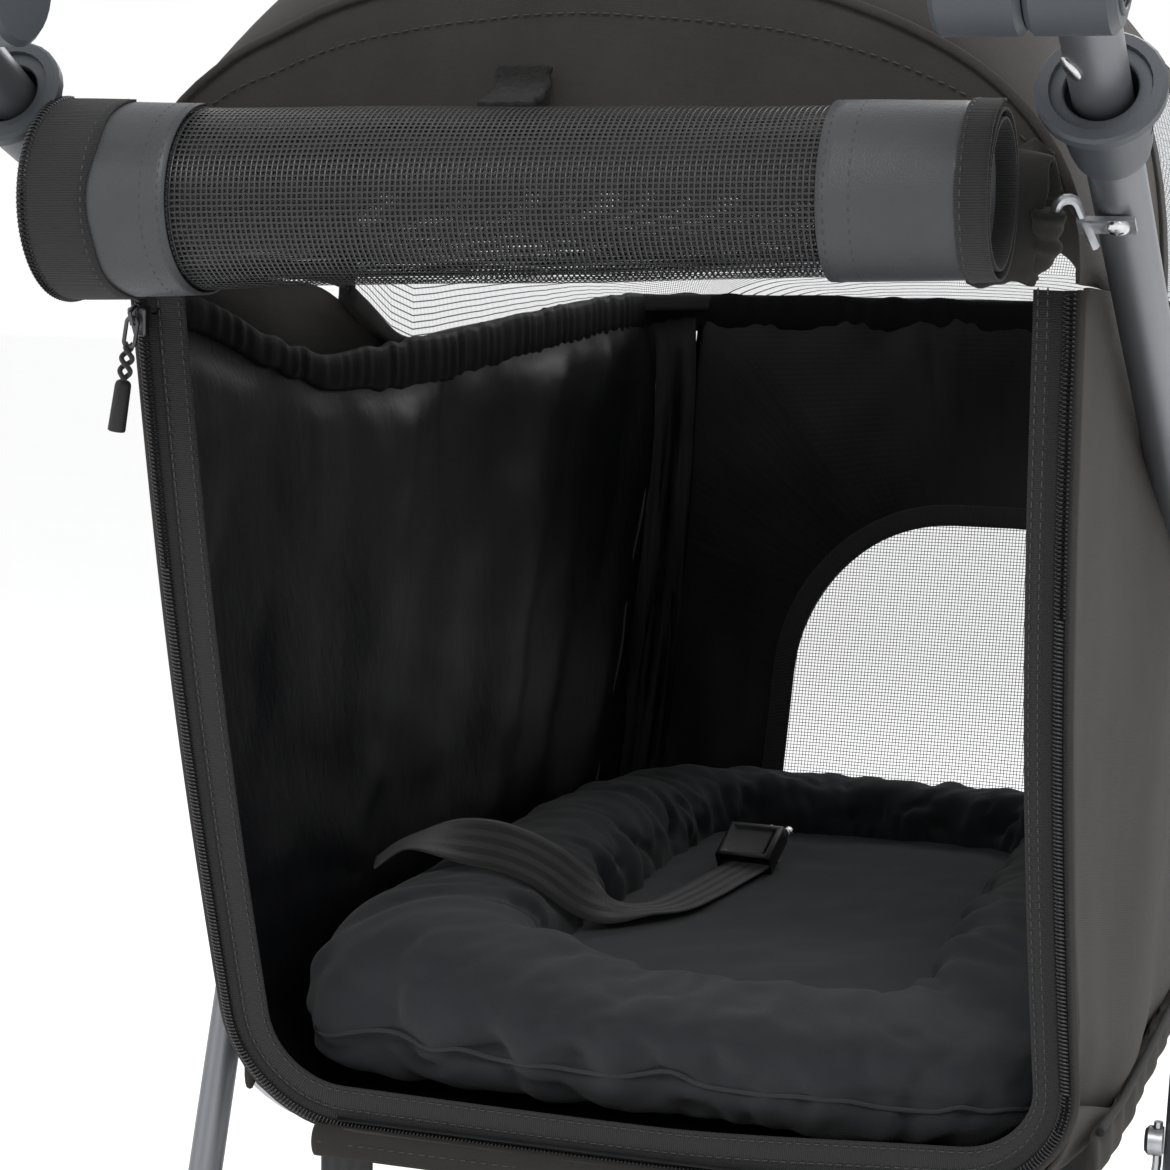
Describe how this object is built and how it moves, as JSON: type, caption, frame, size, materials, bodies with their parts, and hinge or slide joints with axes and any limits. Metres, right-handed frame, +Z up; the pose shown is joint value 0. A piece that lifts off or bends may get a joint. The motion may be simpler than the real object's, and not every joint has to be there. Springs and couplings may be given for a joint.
{
  "type": "pet stroller",
  "caption": "Folding pet stroller: tube frame, swivel front casters, angle-set handle, fabric cabin with a rolled-up rear door, cushion and storage tray.",
  "frame": {"origin": "on the ground, under the middle of the bounding box", "axes": "+Y forward towards the front casters, +X to the right for someone behind the handle facing forward, +Z up"},
  "size_m": [0.532, 0.9576, 1.0023],
  "materials": {
    "frame_tube": "satin gunmetal paint",
    "dark_plastic": "fine-grained dark slate plastic",
    "teal_button": "satin teal plastic",
    "foam_grip": "matt black foam",
    "zinc_wire": "zinc-plated steel",
    "screw_steel": "bright plated steel",
    "canvas": "brushed charcoal canvas",
    "zip_tape": "black ribbed tape with a coil zip",
    "door_cloth": "coated slate cloth and black mesh",
    "cushion_twill": "charcoal twill",
    "buckle_plastic": "black moulded plastic",
    "wheel_plastic": "grey moulded plastic",
    "tyre_rubber": "matt black tyre rubber"
  },
  "bodies": {
    "chassis": {"main_tube_left": "frame_tube", "main_tube_right": "frame_tube", "upper_tube_left": "frame_tube", "upper_tube_right": "frame_tube", "hub_base_left": "dark_plastic", "hub_base_right": "dark_plastic", "leg_pivot_left": "screw_steel", "leg_pivot_right": "screw_steel", "caster_socket_left": "dark_plastic", "caster_socket_right": "dark_plastic", "front_cross_tube": "frame_tube", "floor_hoop": "frame_tube", "rim_wire": "zinc_wire", "rim_screw_left": "screw_steel", "rim_screw_right": "screw_steel", "cabin_tub": "canvas", "canopy": "canvas", "door_zip": "zip_tape", "door_roll": "door_cloth", "roll_tab": "zip_tape", "cushion": "cushion_twill", "tether_strap": "zip_tape", "basket": "canvas"},
    "handle": {"handle_tube": "frame_tube", "handle_grip": "foam_grip", "hub_arm_left": "dark_plastic", "hub_arm_right": "dark_plastic"},
    "button_left": {"hub_button_left": "teal_button"},
    "button_right": {"hub_button_right": "teal_button"},
    "collar_left": {"lock_collar_left": "dark_plastic"},
    "collar_right": {"lock_collar_right": "dark_plastic"},
    "rear_legs": {"rear_leg_left": "frame_tube", "rear_leg_right": "frame_tube", "rear_axle": "frame_tube", "floor_wire": "zinc_wire", "wire_clip_left": "zinc_wire", "wire_clip_right": "zinc_wire"},
    "brake": {"brake_pedal": "dark_plastic"},
    "rear_wheel_left": {"rear_rim_left": "wheel_plastic", "rear_tyre_left": "tyre_rubber"},
    "rear_wheel_right": {"rear_rim_right": "wheel_plastic", "rear_tyre_right": "tyre_rubber"},
    "caster_left": {"caster_fork_left": "dark_plastic", "front_axle_left": "screw_steel"},
    "caster_right": {"caster_fork_right": "dark_plastic", "front_axle_right": "screw_steel"},
    "front_wheel_left": {"front_rim_left": "wheel_plastic", "front_tyre_left": "tyre_rubber"},
    "front_wheel_right": {"front_rim_right": "wheel_plastic", "front_tyre_right": "tyre_rubber"},
    "slider": {"zip_slider": "zinc_wire"},
    "pull": {"zip_pull": "buckle_plastic"},
    "buckle": {"tether_buckle": "buckle_plastic"}
  },
  "joints": [
    {"name": "handle_tilt", "type": "hinge", "parent": "chassis", "child": "handle", "pos_m": [0, -0.34852, 0.823], "axis": [1, 0, 0], "range_deg": [-30, 80]},
    {"name": "button_press_left", "type": "slide", "parent": "chassis", "child": "button_left", "axis": [1, 0, 0], "range_m": [0, 0.0025], "stiffness_N_per_m": 300, "springref_m": -0.001},
    {"name": "collar_slide_left", "type": "slide", "parent": "chassis", "child": "collar_left", "axis": [0, -0.8746, 0.4848], "range_m": [0, 0.02]},
    {"name": "button_press_right", "type": "slide", "parent": "chassis", "child": "button_right", "axis": [-1, 0, 0], "range_m": [0, 0.0025], "stiffness_N_per_m": 300, "springref_m": -0.001},
    {"name": "collar_slide_right", "type": "slide", "parent": "chassis", "child": "collar_right", "axis": [0, -0.8746, 0.4848], "range_m": [0, 0.02]},
    {"name": "rear_leg_fold", "type": "hinge", "parent": "chassis", "child": "rear_legs", "pos_m": [0, 0.0022, 0.628], "axis": [1, 0, 0], "range_deg": [0, 32]},
    {"name": "brake_press", "type": "hinge", "parent": "rear_legs", "child": "brake", "pos_m": [0, -0.18133, 0.095], "axis": [1, 0, 0], "range_deg": [0, 20]},
    {"name": "rear_wheel_spin_left", "type": "hinge", "parent": "rear_legs", "child": "rear_wheel_left", "pos_m": [-0.245, -0.18133, 0.095], "axis": [1, 0, 0], "continuous": true},
    {"name": "caster_swivel_left", "type": "hinge", "parent": "chassis", "child": "caster_left", "pos_m": [-0.191, 0.3822, 0.2], "axis": [0, 0, 1], "continuous": true},
    {"name": "front_wheel_spin_left", "type": "hinge", "parent": "caster_left", "child": "front_wheel_left", "pos_m": [-0.191, 0.3472, 0.075], "axis": [1, 0, 0], "continuous": true},
    {"name": "rear_wheel_spin_right", "type": "hinge", "parent": "rear_legs", "child": "rear_wheel_right", "pos_m": [0.245, -0.18133, 0.095], "axis": [1, 0, 0], "continuous": true},
    {"name": "caster_swivel_right", "type": "hinge", "parent": "chassis", "child": "caster_right", "pos_m": [0.191, 0.3822, 0.2], "axis": [0, 0, 1], "continuous": true},
    {"name": "front_wheel_spin_right", "type": "hinge", "parent": "caster_right", "child": "front_wheel_right", "pos_m": [0.191, 0.3472, 0.075], "axis": [1, 0, 0], "continuous": true},
    {"name": "zip_travel", "type": "slide", "parent": "chassis", "child": "slider", "axis": [0, 0.2525, -0.9676], "range_m": [0, 0.24]},
    {"name": "zip_pull_swing", "type": "hinge", "parent": "slider", "child": "pull", "pos_m": [-0.1725, -0.22845, 0.71197], "axis": [1, 0, 0], "range_deg": [-70, 8]},
    {"name": "buckle_travel", "type": "slide", "parent": "chassis", "child": "buckle", "axis": [0.1042, 0.9946, 0], "range_m": [-0.045, 0.004]}
  ],
  "couplings": [
    {"joint": "collar_slide_right", "follows": "collar_slide_left", "ratio": 1}
  ]
}
